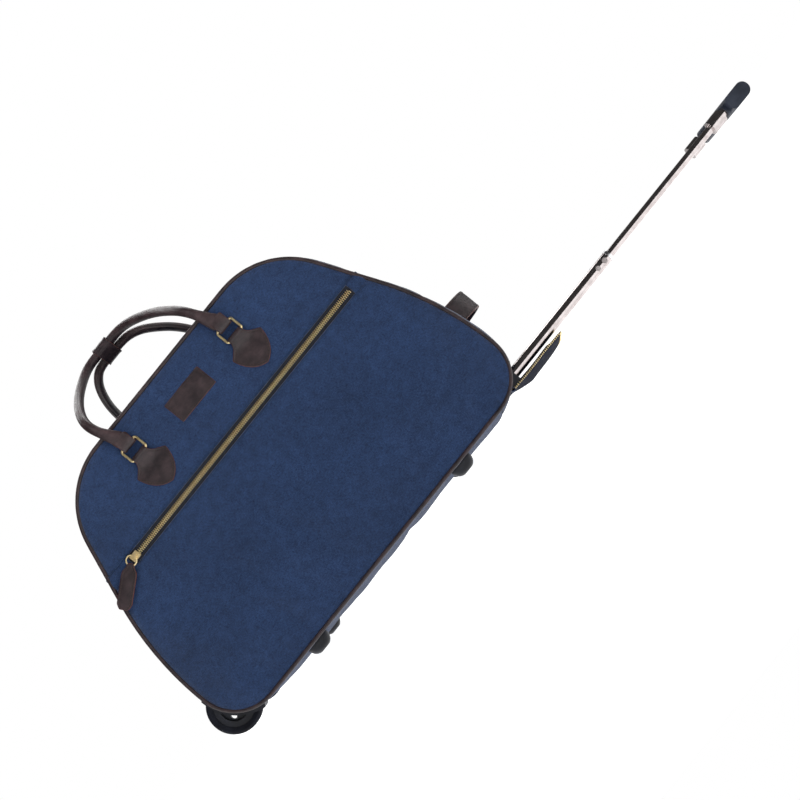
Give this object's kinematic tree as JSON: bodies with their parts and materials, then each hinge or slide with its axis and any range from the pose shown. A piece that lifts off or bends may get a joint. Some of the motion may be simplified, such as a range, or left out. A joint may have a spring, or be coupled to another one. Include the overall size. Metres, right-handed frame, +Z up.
{
  "type": "wheeled soft holdall",
  "caption": "Soft canvas holdall with leather piping and carrying handles, a zipped front pocket, end wheels, base feet and a telescopic trolley handle.",
  "frame": {"origin": "on the floor, in the middle of the whole object's footprint, with the trolley handle drawn out", "axes": "+X along the bag towards the trolley handle, -Y the front with the pocket zip, +Z up"},
  "size_m": [0.9704, 0.2754, 0.4507],
  "materials": {
    "canvas": "heathered navy cotton canvas",
    "lining": "black woven lining",
    "zip_tape": "dark navy woven tape",
    "brass": "polished brass",
    "leather": "dark brown smooth leather with raw reddish edges",
    "piping": "dark brown leather cord",
    "black_plastic": "satin black moulding",
    "board": "matt black fibreboard",
    "chrome": "polished",
    "bright_metal": "satin",
    "steel": "zinc plated",
    "grip_rubber": "soft matt dark blue-grey",
    "tyre": "satin black"
  },
  "bodies": {
    "bag": {"back_fixed_tube": "chrome", "back_panel": "canvas", "back_piping": "piping", "base_frame": "black_plastic", "base_panel": "canvas", "chapes": "leather", "exit_bezel": "black_plastic", "false_floor": "board", "feet": "black_plastic", "foot_screws": "steel", "front_fixed_tube": "chrome", "front_lower_panel": "canvas", "front_piping": "piping", "front_upper_panel": "canvas", "front_zip_tapes": "zip_tape", "front_zip_teeth": "brass", "grab_strap": "leather", "handle_end_gusset": "canvas", "handle_hood": "canvas", "label_patch": "leather", "lining": "lining", "main_zip_tapes": "zip_tape", "main_zip_teeth": "brass", "pocket_wall": "lining", "top_gusset_back": "canvas", "top_gusset_front": "canvas", "tube_saddle": "black_plastic", "wheel_axles": "steel", "wheel_end_gusset": "canvas", "wheel_housings": "black_plastic"},
    "mid_stage": {"front_mid_tube": "chrome", "back_mid_tube": "chrome", "mid_collars": "bright_metal", "collar_pins": "chrome"},
    "inner_stage": {"front_inner_tube": "chrome", "back_inner_tube": "chrome", "grip_bracket": "chrome", "grip": "grip_rubber", "button_spring": "steel"},
    "button": {"release_button": "black_plastic"},
    "front_wheel": {"front_tyre": "tyre", "front_rim": "black_plastic"},
    "back_wheel": {"back_tyre": "tyre", "back_rim": "black_plastic"},
    "front_zip_slider": {"front_slider": "brass"},
    "pull_ring": {"front_pull_ring": "brass"},
    "pull_tab": {"front_pull_tab": "leather"},
    "left_zip_slider": {"main_slider_left": "brass"},
    "left_pull": {"main_pull_left": "brass"},
    "right_zip_slider": {"main_slider_right": "brass"},
    "right_pull": {"main_pull_right": "brass"},
    "front_rings": {"front_left_ring": "brass", "front_right_ring": "brass"},
    "front_carry_handle": {"front_handle": "leather", "handle_wrap": "leather"},
    "back_rings": {"back_left_ring": "brass", "back_right_ring": "brass"},
    "back_carry_handle": {"back_handle": "leather"},
    "trolley_flap": {"handle_flap": "canvas", "flap_zip_teeth": "brass"}
  },
  "joints": [
    {"name": "stage_one_slide", "type": "slide", "parent": "bag", "child": "mid_stage", "axis": [1, 0, 0], "range_m": [-0.154, 0]},
    {"name": "stage_two_slide", "type": "slide", "parent": "mid_stage", "child": "inner_stage", "axis": [1, 0, 0], "range_m": [-0.19, 0]},
    {"name": "button_press", "type": "slide", "parent": "inner_stage", "child": "button", "axis": [-1, 0, 0], "range_m": [0, 0.004], "stiffness_N_per_m": 400, "springref_m": -0.001, "deforming": ["button_spring"]},
    {"name": "front_wheel_spin", "type": "hinge", "parent": "bag", "child": "front_wheel", "pos_m": [-0.45275, -0.095, 0.0401], "axis": [0, 1, 0], "continuous": true},
    {"name": "back_wheel_spin", "type": "hinge", "parent": "bag", "child": "back_wheel", "pos_m": [-0.45275, 0.095, 0.0401], "axis": [0, 1, 0], "continuous": true},
    {"name": "front_zip_slide", "type": "slide", "parent": "bag", "child": "front_zip_slider", "axis": [1, 0, 0], "range_m": [0, 0.375]},
    {"name": "pull_ring_flip", "type": "hinge", "parent": "front_zip_slider", "child": "pull_ring", "pos_m": [-0.38475, -0.1283, 0.2315], "axis": [0, 0, 1], "range_deg": [0, 170]},
    {"name": "pull_tab_swing", "type": "hinge", "parent": "pull_ring", "child": "pull_tab", "pos_m": [-0.39075, -0.1283, 0.2315], "axis": [0, -1, 0], "range_deg": [-30, 60]},
    {"name": "left_zip_slide", "type": "slide", "parent": "bag", "child": "left_zip_slider", "axis": [1, 0, 0], "range_m": [-0.043, 0]},
    {"name": "left_pull_flip", "type": "hinge", "parent": "left_zip_slider", "child": "left_pull", "pos_m": [-0.26675, 0, 0.3468], "axis": [0, 1, 0], "range_deg": [0, 150]},
    {"name": "right_zip_slide", "type": "slide", "parent": "bag", "child": "right_zip_slider", "axis": [1, 0, 0], "range_m": [0, 0.153]},
    {"name": "right_pull_flip", "type": "hinge", "parent": "right_zip_slider", "child": "right_pull", "pos_m": [-0.25275, 0, 0.3468], "axis": [0, -1, 0], "range_deg": [0, 150]},
    {"name": "front_ring_hinge", "type": "hinge", "parent": "bag", "child": "front_rings", "pos_m": [-0.20675, -0.13, 0.2985], "axis": [1, 0, 0], "range_deg": [0, 100]},
    {"name": "front_handle_hinge", "type": "hinge", "parent": "front_rings", "child": "front_carry_handle", "pos_m": [-0.20675, -0.13, 0.3155], "axis": [1, 0, 0], "range_deg": [0, 85], "deforming": ["handle_wrap"]},
    {"name": "back_ring_hinge", "type": "hinge", "parent": "bag", "child": "back_rings", "pos_m": [-0.20675, 0.13, 0.2985], "axis": [-1, 0, 0], "range_deg": [0, 100]},
    {"name": "back_handle_hinge", "type": "hinge", "parent": "back_rings", "child": "back_carry_handle", "pos_m": [-0.20675, 0.13, 0.3155], "axis": [-1, 0, 0], "range_deg": [0, 85]},
    {"name": "flap_hinge", "type": "hinge", "parent": "bag", "child": "trolley_flap", "pos_m": [0.02325, 0, 0.01625], "axis": [0, 1, 0], "range_deg": [0, 8]}
  ]
}
